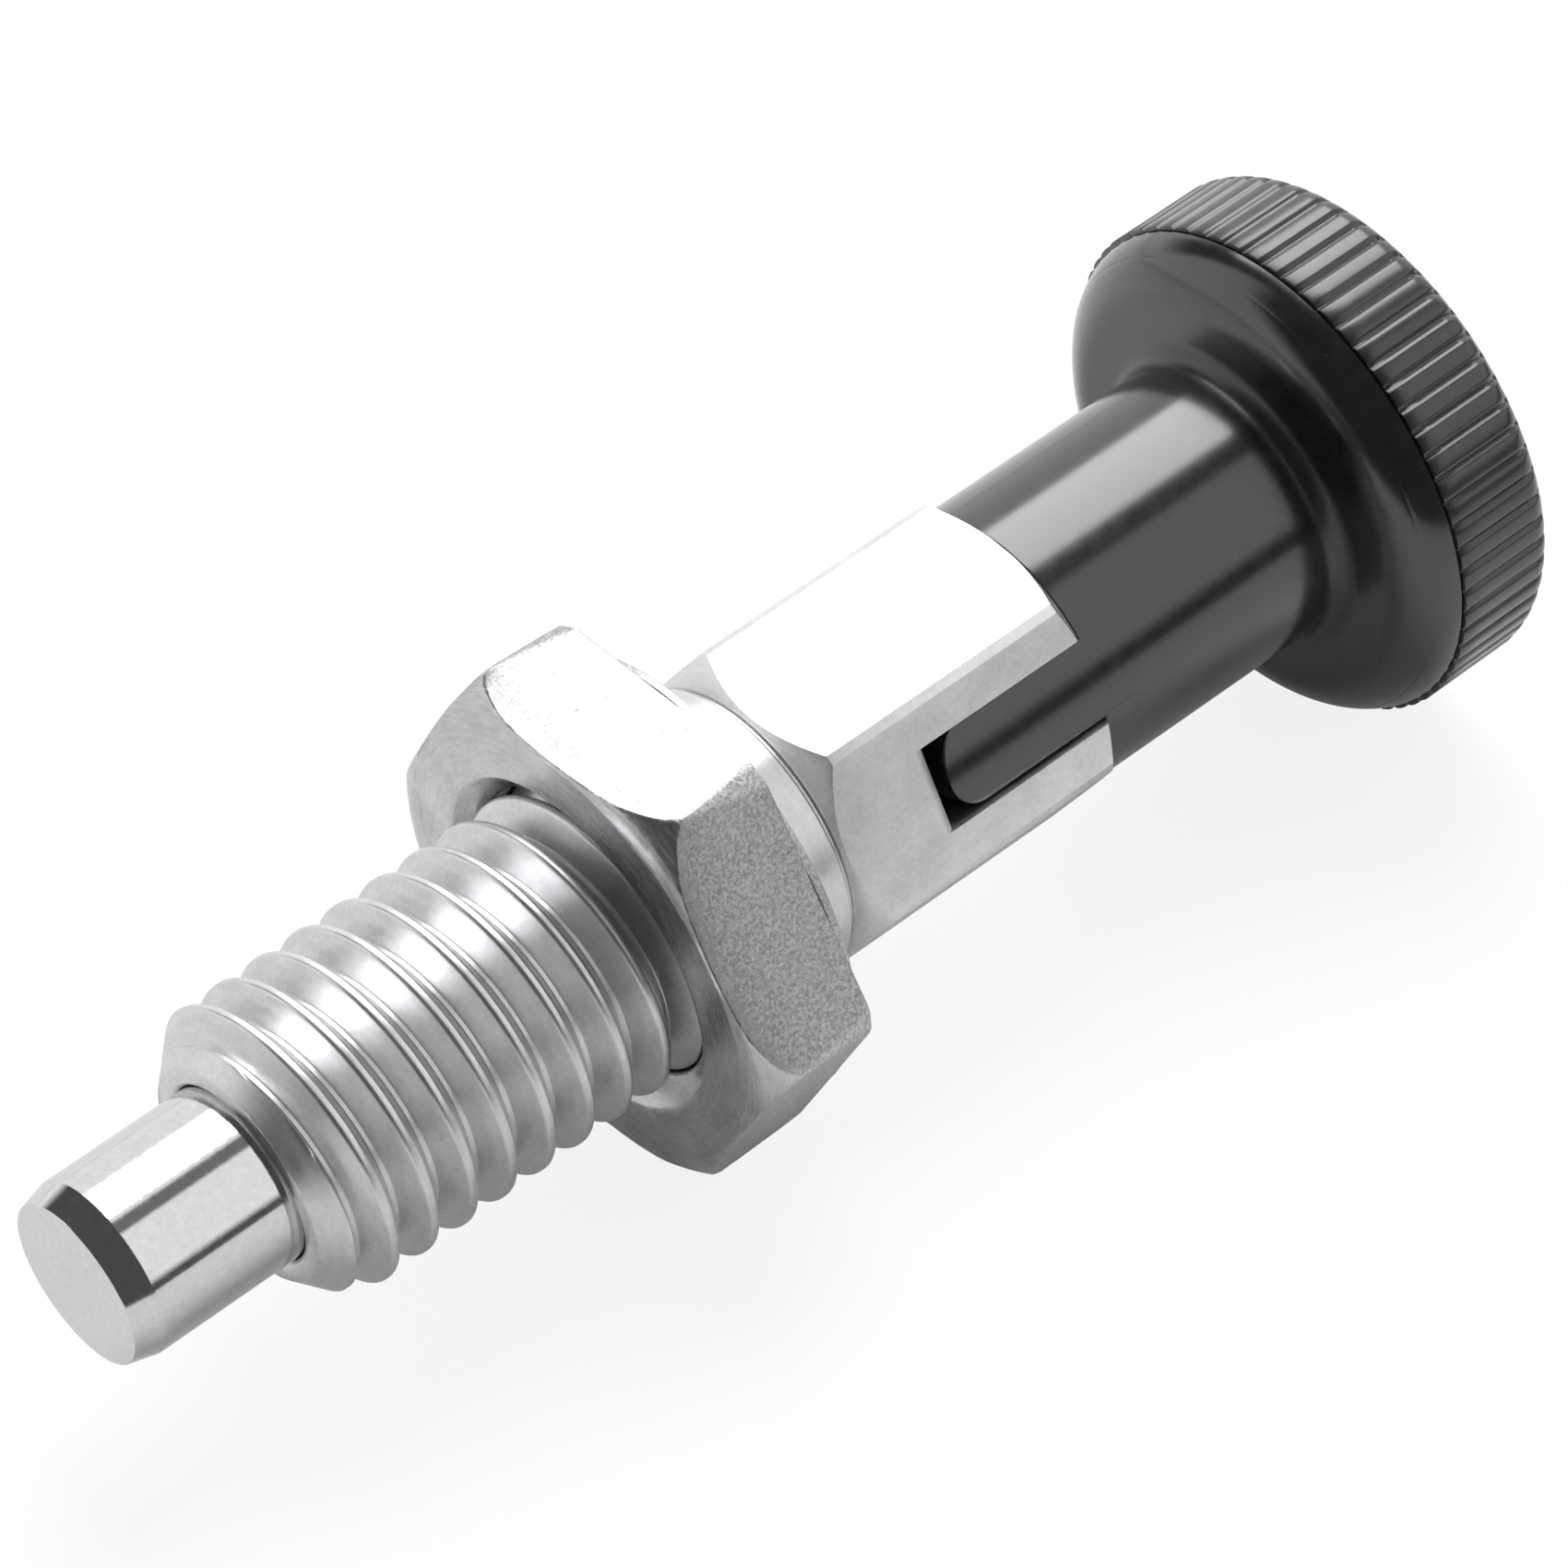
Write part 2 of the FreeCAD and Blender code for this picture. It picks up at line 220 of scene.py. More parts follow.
# Materials: what a noise, and two noises added, cover, and how far rings stretch round the axis
ONE_NOISE = (0.3, 0.7)
TWO_NOISES = (0.7, 1.3)
TURN_STRETCH = 0.0012
STEEL_BLUE = 0.01
SCRATCH_EDGE = 0.03
PLASTIC_BLACK = (0.005, 0.005, 0.0055)
PLASTIC_WORN = (0.045, 0.045, 0.05)

# Floor, in metres but for its gap below the part
FLOOR_SIZE = 1.5
FLOOR_GAP = 0.05
FLOOR_PALE = (0.9, 0.9, 0.9)
# The dark colour is a painted shade, seen only in reflections of the floor far in front of the part
FLOOR_PAINTED_SHADE = (0.05, 0.05, 0.05)
FLOOR_WHITE = 0.8
FLOOR_MIRRORED = 0.07
FLOOR_GLOW = 1.07
# Where that painted shade sets in: by distance from the floor's middle, and on its front side
FLOOR_SHADE_DISTANCES = (0.085, 0.13)
FLOOR_SHADE_SIDE = (0.02, 0.06)

# Room, its dark bands as (middle, half width, soft edge, depth), and the key lamp in metres
ROOM_LIGHT = (1.05, 1.05, 1.05)
ROOM_DARK = (0.05, 0.05, 0.05)
CONE_WAY = (-0.43, -0.56, 0.71)
CONE_EDGE = (0.38, 0.58)
CONE_SIDE = (0.12, 0.22)
CONE_DEPTH = 0.96
STRIP = (-0.03, 0.15, 0.08, 0.96)
STRIP_RISE = (0.12, 0.36)
GAP = (radians(11), radians(6), radians(4), 0.85)
GAP_SIDE = (0, 0.15)
HORIZON = (0, 0.04, 0.12, 0.95)
HORIZON_SIDE = (0, 0.3)
KEY_PLACE = (0.2, 0.156, 0.335)
KEY_TARGET = (0.02, 0, 0)
KEY_ALONG = 0.28
KEY_ACROSS = 0.32
KEY_POWER = 1.2


# Profiles

def rounded(points, radius, steps=3):
    """A profile whose inner corners are turned into small arcs, with a support point at each arc's ends."""
    made = [points[0]]
    for before, corner, after in zip(points, points[1:], points[2:]):
        corner_v = Vector(corner)
        to_before = Vector(before) - corner_v
        to_after = Vector(after) - corner_v
        reach = min(radius, to_before.length * ARC_SHARE, to_after.length * ARC_SHARE)
        if reach < ARC_LEAST or to_before.angle(to_after) > radians(STRAIGHT):
            made.append(corner)
            continue
        start = corner_v + to_before.normalized() * reach
        end = corner_v + to_after.normalized() * reach
        made.append(tuple(corner_v + to_before.normalized() * reach * ARC_SUPPORT))
        for step in range(steps + 1):
            t = step / steps
            made.append(tuple(start * (1 - t) ** 2 + corner_v * 2 * t * (1 - t) + end * t ** 2))
        made.append(tuple(corner_v + to_after.normalized() * reach * ARC_SUPPORT))
    made.append(points[-1])
    return made


def on_profile(profile, place):
    """The radius of an open profile of rising places at one place."""
    for (a, ra), (b, rb) in zip(profile, profile[1:]):
        if a <= place <= b and b > a:
            return ra + (rb - ra) * (place - a) / (b - a)
    return profile[0][1] if place < profile[0][0] else profile[-1][1]


def on_circle(place, radius, size, angle):
    """A circle's point at an angle in degrees, 0 along +X and 90 outwards."""
    return (place + size * cos(radians(angle)), radius + size * sin(radians(angle)))


def arc(place, radius, size, start, end, steps):
    """Points of a circle from one angle to another."""
    return [on_circle(place, radius, size, start + (end - start) * step / steps) for step in range(steps + 1)]


# Meshes

def new_piece(name, points, faces, sharp=35):
    """An object from points in millimetres, smooth but for edges over an angle."""
    mesh = bpy.data.meshes.new(name)
    mesh.from_pydata([(x * MM, y * MM, z * MM) for x, y, z in points], [], faces)
    build = bmesh.new()
    build.from_mesh(mesh)
    bmesh.ops.remove_doubles(build, verts=build.verts, dist=POINT_JOIN * MM)
    bmesh.ops.recalc_face_normals(build, faces=build.faces)
    build.to_mesh(mesh)
    build.free()
    for face in mesh.polygons:
        face.use_smooth = True
    mesh.set_sharp_from_angle(angle=radians(sharp))
    piece = bpy.data.objects.new(name, mesh)
    bpy.context.scene.collection.objects.link(piece)
    return piece


def around(place, radius, angle):
    return (place, -radius * sin(angle), radius * cos(angle))


def column_at(outline, angle):
    """An outline of (place, radius) turned to an angle."""
    return [(place, radius, angle) for place, radius in outline]


def grid(columns, closed=False, wrapped=True):
    """Points and faces of (place, radius, angle) columns; closed and wrapped join their ends and sides."""
    rows = len(columns[0])
    points = [around(*spot) for column in columns for spot in column]
    faces = []
    for index in range(len(columns) if wrapped else len(columns) - 1):
        after = (index + 1) % len(columns)
        for row in range(rows if closed else rows - 1):
            up = (row + 1) % rows
            faces.append((index * rows + row, after * rows + row, after * rows + up, index * rows + up))
    return points, faces


def turned(name, profile, columns=ROUND_COLUMNS):
    """A lathed piece from (place, radius) points."""
    points, faces = grid([column_at(profile, 2 * pi * index / columns) for index in range(columns)])
    return new_piece(name, points, faces)


def add_sheet(rows, points, faces):
    """Adds rows of points, all of one length, and the faces between them."""
    base = len(points)
    width = len(rows[0])
    for row in rows:
        points += row
    for row in range(len(rows) - 1):
        for index in range(width - 1):
            a = base + row * width + index
            faces.append((a, a + 1, a + width + 1, a + width))


# Stud

def thread_profile():
    """One pitch of the thread as (place, radius) about its crest, crest edges and root rounded."""
    half = THREAD_PITCH / 2
    crest = THREAD_CREST / 2
    foot = crest + (THREAD_RADIUS - THREAD_ROOT) * tan(radians(THREAD_FLANK))
    line = rounded([(-half, THREAD_ROOT), (-foot, THREAD_ROOT), (-crest, THREAD_RADIUS),
                    (crest, THREAD_RADIUS), (foot, THREAD_ROOT), (half, THREAD_ROOT)], THREAD_ROUND, steps=4)
    fine = []
    for (a, ra), (b, rb) in zip(line, line[1:]):
        parts = max(1, ceil((b - a) / THREAD_STEP))
        for part in range(parts):
            fine.append((a + (b - a) * part / parts, ra + (rb - ra) * part / parts))
    return fine


def thread_envelope():
    """What holds the thread in: the front chamfer, its full radius, and the relief."""
    return [(0, THREAD_RADIUS - FRONT_CHAMFER), (FRONT_CHAMFER, THREAD_RADIUS), (THREAD_END, THREAD_RADIUS),
            (THREAD_END + RELIEF_DEPTH / 2, RELIEF_RADIUS), (THREAD_STOP, RELIEF_RADIUS)]


def stud_front():
    """The chamber's wall, the guide, its mouth and the front face."""
    return rounded([(STUD_LENGTH, CHAMBER_RADIUS), (GUIDE_LENGTH, CHAMBER_RADIUS),
                    (GUIDE_LENGTH, GUIDE_RADIUS), (MOUTH_CHAMFER, GUIDE_RADIUS),
                    (0, GUIDE_RADIUS + MOUTH_CHAMFER), (0, THREAD_RADIUS - FRONT_CHAMFER)], SOFT_EDGE)


def stud_rear():
    """The relief's far side, the plain collar and the dark neck behind it."""
    neck = STUD_LENGTH - NECK_WIDTH
    neck_radius = THREAD_RADIUS - NECK_DEPTH
    return rounded([(THREAD_STOP, RELIEF_RADIUS), (RELIEF_END, THREAD_RADIUS), (neck, THREAD_RADIUS),
                    (neck + NECK_DEPTH / 2, neck_radius), (STUD_LENGTH, neck_radius),
                    (STUD_LENGTH, CHAMBER_RADIUS)], SOFT_EDGE)


def stud_outline(angle, profile, turns):
    """The stud's outline at one angle: the chamber's wall, the front face, and back along the thread."""
    envelope = thread_envelope()
    turn = (angle - radians(THREAD_START_ANGLE)) / (2 * pi)
    outline = stud_front()
    for wrap in range(-2, turns):
        crest = THREAD_START + THREAD_PITCH * (turn + wrap)
        for offset, radius in profile:
            place = min(max(crest + offset, 0), THREAD_STOP)
            outline.append((place, min(radius, on_profile(envelope, place))))
    return outline + stud_rear()


def make_stud():
    profile = thread_profile()
    turns = ceil(RELIEF_END / THREAD_PITCH) + 2
    columns = []
    for index in range(ROUND_COLUMNS + 1):
        angle = 2 * pi * index / ROUND_COLUMNS
        columns.append(column_at(stud_outline(angle, profile, turns), angle))
    points, faces = grid(columns, wrapped=False)
    return new_piece("body_stud", points, faces, sharp=50)


# Hexagon

def round_angle(flats, corner_round):
    """The angle from a six-sided bar's corner to where its rounding ends."""
    corner = flats / 2 / cos(pi / 6)
    return atan(0.5 * corner_round / (corner - corner_round * tan(pi / 6) / 2))


def hex_radius(flats, angle, corner_round=0.0):
    """How far a six-sided bar reaches at an angle from a flat's middle, its corners a little rounded."""
    turn = (angle + pi / 6) % (pi / 3) - pi / 6
    off = pi / 6 - abs(turn)
    if off < round_angle(flats, corner_round):
        middle = (flats / 2 - corner_round) / cos(pi / 6)
        return middle * cos(off) + sqrt(max(0, corner_round ** 2 - (middle * sin(off)) ** 2))
    return flats / 2 / cos(turn)


def sector_angles(turn, edge, fine):
    """Angles all the way round: each flat in even steps, with more close to each corner."""
    angles = []
    for side in range(6):
        middle = radians(60 * side + turn)
        for step in range(fine + 1):
            angles.append(middle + (pi / 6 - edge) * (2 * step / fine - 1))
        for off in (-edge / 2, 0, edge / 2):
            angles.append(middle + pi / 6 + off)
    return angles


def head_outline(reach):
    """The hexagon's outline where it reaches a radius, from the bore over its turned front to the rear."""
    rise = reach - HEX_START_RADIUS
    tail = HEX_CORNER_RADIUS - HEX_END_CHAMFER
    back = HEX_END - max(0, reach - tail) * HEX_END_RUN / HEX_END_CHAMFER
    outline = [(STUD_LENGTH, CHAMBER_RADIUS), (STUD_LENGTH, HEX_START_RADIUS)]
    outline += [(STUD_LENGTH + rise * t, HEX_START_RADIUS + rise * t) for t in THIRDS]
    outline += [(back, reach), (HEX_END, min(reach, tail)), (HEX_END, CHAMBER_RADIUS + HEX_BORE_CHAMFER)]
    return outline + [(HEX_END - HEX_BORE_CHAMFER, CHAMBER_RADIUS)]


def make_head():
    """The hexagon with turned corners and its slot, cut in millimetres and scaled after."""
    land = acos(HEX_FLATS / 2 / HEX_CORNER_RADIUS)
    columns = []
    for angle in sector_angles(HEX_TURN, pi / 6 - land, HEX_STEPS):
        reach = min(hex_radius(HEX_FLATS, angle - radians(HEX_TURN)), HEX_CORNER_RADIUS)
        columns.append(column_at(head_outline(reach), angle))
    points, faces = grid(columns, closed=True)
    piece = new_piece("body_head", [(x / MM, y / MM, z / MM) for x, y, z in points], faces)
    cut(piece, slot_block())
    piece.data.transform(Matrix.Scale(MM, 4))
    return piece


def slot_block():
    """The block that cuts the slot, bevelled where its bottom meets the flats, in millimetres."""
    flat = HEX_FLATS / 2
    reach = flat + SLOT_PAST
    bevel = SLOT_BOTTOM - SLOT_BEVEL
    end = HEX_END + SLOT_PAST
    outline = [(bevel, reach), (bevel, flat), (SLOT_BOTTOM, flat - SLOT_BEVEL_DEPTH),
               (SLOT_BOTTOM, SLOT_BEVEL_DEPTH - flat), (bevel, -flat), (bevel, -reach),
               (end, -reach), (end, reach)]
    count = len(outline)
    points = []
    for side in (-1, 1):
        points += [(place / MM, side * SLOT_WIDTH / 2 / MM, height / MM) for place, height in outline]
    faces = [tuple(range(count)), tuple(range(2 * count - 1, count - 1, -1))]
    for index in range(count):
        after = (index + 1) % count
        faces.append((after, index, count + index, count + after))
    block = new_piece("slot_block", points, faces)
    block.data.transform(Matrix.Rotation(radians(SLOT_ANGLE), 4, "X"))
    return block


def cut(piece, block):
    """Takes a block out of a piece, joins what is flat, and softens the cut's edges."""
    boolean = piece.modifiers.new("cut", "BOOLEAN")
    boolean.object = block
    boolean.operation = "DIFFERENCE"
    boolean.solver = "EXACT"
    settle(piece)
    bpy.data.objects.remove(block)
    build = bmesh.new()
    build.from_mesh(piece.data)
    bmesh.ops.remove_doubles(build, verts=build.verts, dist=CUT_JOIN)
    bmesh.ops.dissolve_limit(build, angle_limit=radians(CUT_FLAT), verts=build.verts, edges=build.edges)
    build.to_mesh(piece.data)
    build.free()
    bevel = piece.modifiers.new("bevel", "BEVEL")
    bevel.width = SOFT_EDGE
    bevel.segments = CUT_SEGMENTS
    bevel.limit_method = "ANGLE"
    bevel.angle_limit = radians(CUT_EDGE)
    bevel.harden_normals = False
    settle(piece)
    for face in piece.data.polygons:
        face.use_smooth = True
    piece.data.set_sharp_from_angle(angle=radians(CUT_SHARP))


def settle(piece):
    """Puts a piece's modifiers into its mesh."""
    graph = bpy.context.evaluated_depsgraph_get()
    mesh = bpy.data.meshes.new_from_object(piece.evaluated_get(graph))
    piece.modifiers.clear()
    piece.data = mesh


# Nut

def nut_bore():
    """The bore, the countersink with its worn rim, and the turned front face."""
    return rounded([(NUT_REAR - NUT_REAR_SINK - SOFT_EDGE, NUT_BORE), (NUT_FRONT + NUT_SINK_DEPTH, NUT_BORE),
                    (NUT_FRONT, NUT_SINK_RADIUS), (NUT_FRONT, NUT_FACE_RADIUS - NUT_FACE_INSET)],
                   NUT_WORN_RIM, steps=4)


def nut_rear():
    """The step to the washer face, the face, and the rear countersink."""
    return rounded([(NUT_SEAT, NUT_WASHER_RADIUS + NUT_WASHER_STEP), (NUT_SEAT, NUT_WASHER_RADIUS),
                    (NUT_REAR, NUT_WASHER_RADIUS), (NUT_REAR, NUT_BORE + NUT_REAR_SINK),
                    (NUT_REAR - NUT_REAR_SINK, NUT_BORE)], NUT_REAR_BEVEL)


def chamfer_meets(reach):
    """Where the front chamfer's curve comes up to a radius."""
    for (a, ra), (b, rb) in zip(NUT_CHAMFER, NUT_CHAMFER[1:]):
        if ra <= reach <= rb:
            return a + (b - a) * (reach - ra) / (rb - ra)
    return NUT_CHAMFER[-1][0]


def nut_outside(reach):
    """The nut's outside where it reaches a radius: the front chamfer, the flat, and a slight taper."""
    last_place, last_radius = NUT_CHAMFER[-1]
    end = NUT_SEAT - NUT_REAR_BEVEL
    taper = (last_radius - NUT_REAR_CORNER) / (NUT_SEAT - last_place)
    meet = chamfer_meets(reach)
    leave = min(end, max(last_place, last_place + (last_radius - reach) / taper))
    rear = min(reach, last_radius - taper * (end - last_place))
    outline = []
    for step in range(NUT_CHAMFER_STEPS + 1):
        place = NUT_FRONT + (meet - SOFT_EDGE - NUT_FRONT) * step / NUT_CHAMFER_STEPS
        outline.append((place, min(reach, on_profile(NUT_CHAMFER, place))))
    outline += [(meet, reach - NUT_CHAMFER_DROP), (meet + SOFT_EDGE, reach), ((meet + leave) / 2, reach)]
    return outline + [(leave, reach), ((leave + end) / 2, (reach + rear) / 2), (end, rear),
                      (NUT_SEAT, rear - NUT_REAR_BEVEL)]


def make_nut():
    columns = []
    for angle in sector_angles(0, round_angle(NUT_FLATS, NUT_CORNER_ROUND), NUT_STEPS):
        reach = hex_radius(NUT_FLATS, angle, NUT_CORNER_ROUND)
        columns.append(column_at(nut_bore() + nut_outside(reach) + nut_rear(), angle))
    points, faces = grid(columns, closed=True)
    return new_piece("nut", points, faces, sharp=30)


# Pin, bush and spring

def make_pin():
    flat = PIN_RADIUS - TIP_CHAMFER_DEPTH
    waist = PIN_RADIUS - UNDERCUT_DEPTH
    rest = UNDERCUT_PLACE + UNDERCUT_LENGTH
    return turned("pin", rounded([
        (-PIN_REACH, 0), (-PIN_REACH, flat), (TIP_CHAMFER_LENGTH - PIN_REACH, PIN_RADIUS),
        (UNDERCUT_PLACE, PIN_RADIUS), (UNDERCUT_PLACE, waist), (rest, waist), (rest, PIN_RADIUS),
        (SHOULDER_FRONT, PIN_RADIUS), (SHOULDER_FRONT, SHOULDER_RADIUS), (SHOULDER_REAR, SHOULDER_RADIUS),
        (SHOULDER_REAR, ROD_RADIUS), (ROD_END, ROD_RADIUS), (ROD_END, 0)], PIN_EDGE))


def make_bush():
    hole = ROD_RADIUS + BUSH_PLAY
    return turned("bush", rounded([
        (BUSH_FRONT, hole), (BUSH_FRONT, CHAMBER_RADIUS - BUSH_CHAMFER),
        (BUSH_FRONT + BUSH_CHAMFER, CHAMBER_RADIUS), (BUSH_REAR, CHAMBER_RADIUS),
        (BUSH_REAR, hole), (BUSH_FRONT, hole)], SOFT_EDGE), SMALL_COLUMNS)


def make_spring():
    """Round wire on a helix between the shoulder and the bush."""
    start = SHOULDER_REAR + WIRE_RADIUS + SPRING_GAP
    length = BUSH_FRONT - WIRE_RADIUS - SPRING_GAP - start
    steps = SPRING_TURNS * WIRE_STEPS
    slope = atan2(length / SPRING_TURNS / (2 * pi), SPRING_RADIUS)
    points = []
    for step in range(steps + 1):
        angle = 2 * pi * SPRING_TURNS * step / steps
        out = Vector((0, -sin(angle), cos(angle)))
        along = Vector((sin(slope), -cos(slope) * cos(angle), -cos(slope) * sin(angle)))
        side = along.cross(out)
        middle = Vector((start + length * step / steps, 0, 0)) + out * SPRING_RADIUS
        for turn in range(WIRE_SIDES):
            lean = 2 * pi * turn / WIRE_SIDES
            points.append(tuple(middle + (out * cos(lean) + side * sin(lean)) * WIRE_RADIUS))
    faces = []
    for step in range(steps):
        for turn in range(WIRE_SIDES):
            near = step * WIRE_SIDES + turn
            after = step * WIRE_SIDES + (turn + 1) % WIRE_SIDES
            faces.append((near, after, after + WIRE_SIDES, near + WIRE_SIDES))
    faces.append(tuple(range(WIRE_SIDES)))
    faces.append(tuple(range(steps * WIRE_SIDES, (steps + 1) * WIRE_SIDES)))
    return new_piece("spring_wire", points, faces, sharp=60)


# Knob

def rib_drop(turn):
    """How far the rim falls below a rib's crest, at a share of the pitch from a rib's middle."""
    off = abs(turn - floor(turn + 0.5)) * 2
    if off < RIB_LAND:
        return RIB_CROWN * (off / RIB_LAND) ** 2
    return RIB_CROWN + (GROOVE_DEPTH - RIB_CROWN) * (off - RIB_LAND) / (1 - RIB_LAND)


def shank_profile():
    """The shank from its front edge to its end, and the flare up to the head's face."""
    line = rounded([(KNOB_FRONT, HUB_RADIUS), (KNOB_FRONT, SHANK_RADIUS),
                    (KNOB_FRONT + SHANK_EDGE_END, SHANK_RADIUS)], SHANK_EDGE, steps=4)
    line += [(SHANK_END * t + KNOB_FRONT * (1 - t), SHANK_RADIUS) for t in (*QUARTERS, 0.97)]
    return line + arc(SHANK_END, SHANK_RADIUS + FLARE_RADIUS, FLARE_RADIUS, -90, 0, steps=12)


def head_profile():
    """The head's flat face, its round shoulder with a faint parting line, and the step before the ribs."""
    middle = HEAD_FRONT + SHOULDER_ROUND
    edge = HEAD_RADIUS - GROOVE_DEPTH
    inner = edge - SHOULDER_ROUND * sin(radians(SHOULDER_SWEEP))
    parting = 180 - PARTING_ANGLE
    stop = 180 - SHOULDER_SWEEP + SHOULDER_STOP
    foot = SHANK_RADIUS + FLARE_RADIUS
    line = [(HEAD_FRONT, foot + HEAD_FACE_INSET), (HEAD_FRONT, inner - HEAD_FACE_INSET)]
    line += arc(middle, inner, SHOULDER_ROUND, 180, parting + PARTING_HALF, steps=16)
    line += [on_circle(middle, inner, SHOULDER_ROUND - PARTING_DEPTH, parting)]
    line += arc(middle, inner, SHOULDER_ROUND, parting - PARTING_HALF, stop, steps=8)
    return line + [(line[-1][0] + RIM_STEP_RUN, edge - RIM_STEP), (RIB_START, edge - RIM_STEP)]


def rib_profile():
    """A rib's crest from its blunt front end to the far edge."""
    line = [(RIB_START, HEAD_RADIUS - RIB_TIP_DROP), (RIB_START + RIB_TIP_RUN, HEAD_RADIUS)]
    line += [(RIB_START + (FAR_PLACE - RIB_START) * t, HEAD_RADIUS) for t in QUARTERS]
    return line + arc(FAR_PLACE, HEAD_RADIUS - FAR_ROUND, FAR_ROUND, 90, RIB_RUN_OUT, steps=8)


def end_profile():
    """The rest of the far edge, where the ribs fade out, and the crowned end face."""
    line = arc(FAR_PLACE, HEAD_RADIUS - FAR_ROUND, FAR_ROUND, RIB_RUN_OUT - RIB_FADE, FAR_END, steps=3)
    return line + [(KNOB_END - ahead, radius) for ahead, radius in END_CROWN]


def make_knob():
    line = shank_profile() + head_profile()
    ribs = rib_profile()
    end = end_profile()
    columns = []
    for index in range(RIB_COUNT * RIB_COLUMNS):
        drop = rib_drop(index / RIB_COLUMNS + 0.5 + RIB_PHASE)
        outline = line + [(place, radius - drop) for place, radius in ribs] + end
        columns.append(column_at(outline, 2 * pi * index / (RIB_COUNT * RIB_COLUMNS)))
    points, faces = grid(columns)
    return new_piece("knob_head", points, faces, sharp=50)


def make_hub():
    end = KNOB_FRONT + HUB_IN
    return turned("knob_hub", rounded([(TONGUE_TIP, ROD_RADIUS), (TONGUE_TIP, HUB_RADIUS), (end, HUB_RADIUS),
                                       (end, ROD_RADIUS)], 2 * SOFT_EDGE), SMALL_COLUMNS)


def tongue_outline():
    """The tongue's outline seen from outside, from one side's root round the tip to the other side's root."""
    half = TONGUE_WIDTH / 2
    turn = TONGUE_TIP + TONGUE_TIP_RADIUS
    outline = [(TONGUE_END, half), (KNOB_FRONT, half)]
    outline += [(turn + (KNOB_FRONT - turn) * t, half) for t in (0.66, 0.33)]
    for step in range(TIP_STEPS + 1):
        angle = radians(90 * step / TIP_STEPS)
        outline.append((turn - TONGUE_TIP_RADIUS * sin(angle), half - TONGUE_TIP_RADIUS * (1 - cos(angle))))
    return outline + [(TONGUE_TIP, 0)] + [(place, -across) for place, across in reversed(outline)]


def drawn_in(spot, inset):
    """A spot of the tongue's outline drawn in, but not at the end inside the shank."""
    half = TONGUE_WIDTH / 2
    place, across = spot
    return place + inset * (place < TONGUE_END), across * (half - inset) / half


def spun(place, across, lift, side):
    """A point beside the axis, turned to the slot's direction on one side or the other."""
    angle = radians(SLOT_ANGLE) + pi * side
    return (place, across * cos(angle) - lift * sin(angle), across * sin(angle) + lift * cos(angle))


def tongue_walls(side):
    """Rows of points up a tongue's walls, round its outline: the foot, then the levels to its outer edge."""
    outline = tongue_outline()
    rows = [[spun(place, across, TONGUE_FOOT, side) for place, across in outline]]
    for above, inset in TONGUE_LEVELS:
        level = SHANK_RADIUS + above
        spots = [drawn_in(spot, inset) for spot in outline]
        rows.append([spun(place, across, sqrt(level ** 2 - across ** 2), side) for place, across in spots])
    return rows


def tongue_top(side):
    """Rows of points across a tongue's outer face, from its root to the tip."""
    outline = tongue_outline()
    above, inset = TONGUE_LEVELS[-1]
    level = SHANK_RADIUS + above
    rows = []
    for spot in outline[:len(outline) // 2 + 1]:
        place, reach = drawn_in(spot, inset)
        wides = [reach * (1 - 2 * step / TONGUE_STEPS) for step in range(TONGUE_STEPS + 1)]
        rows.append([spun(place, wide, sqrt(level ** 2 - wide ** 2), side) for wide in wides])
    return rows


def make_tongues():
    """The two tongues that key the knob in the slot, round at the tip and to the shank's radius outside."""
    points = []
    faces = []
    for side in (0, 1):
        add_sheet(tongue_walls(side), points, faces)
        add_sheet(tongue_top(side), points, faces)
    return new_piece("knob_tongues", points, faces, sharp=40)


# Materials

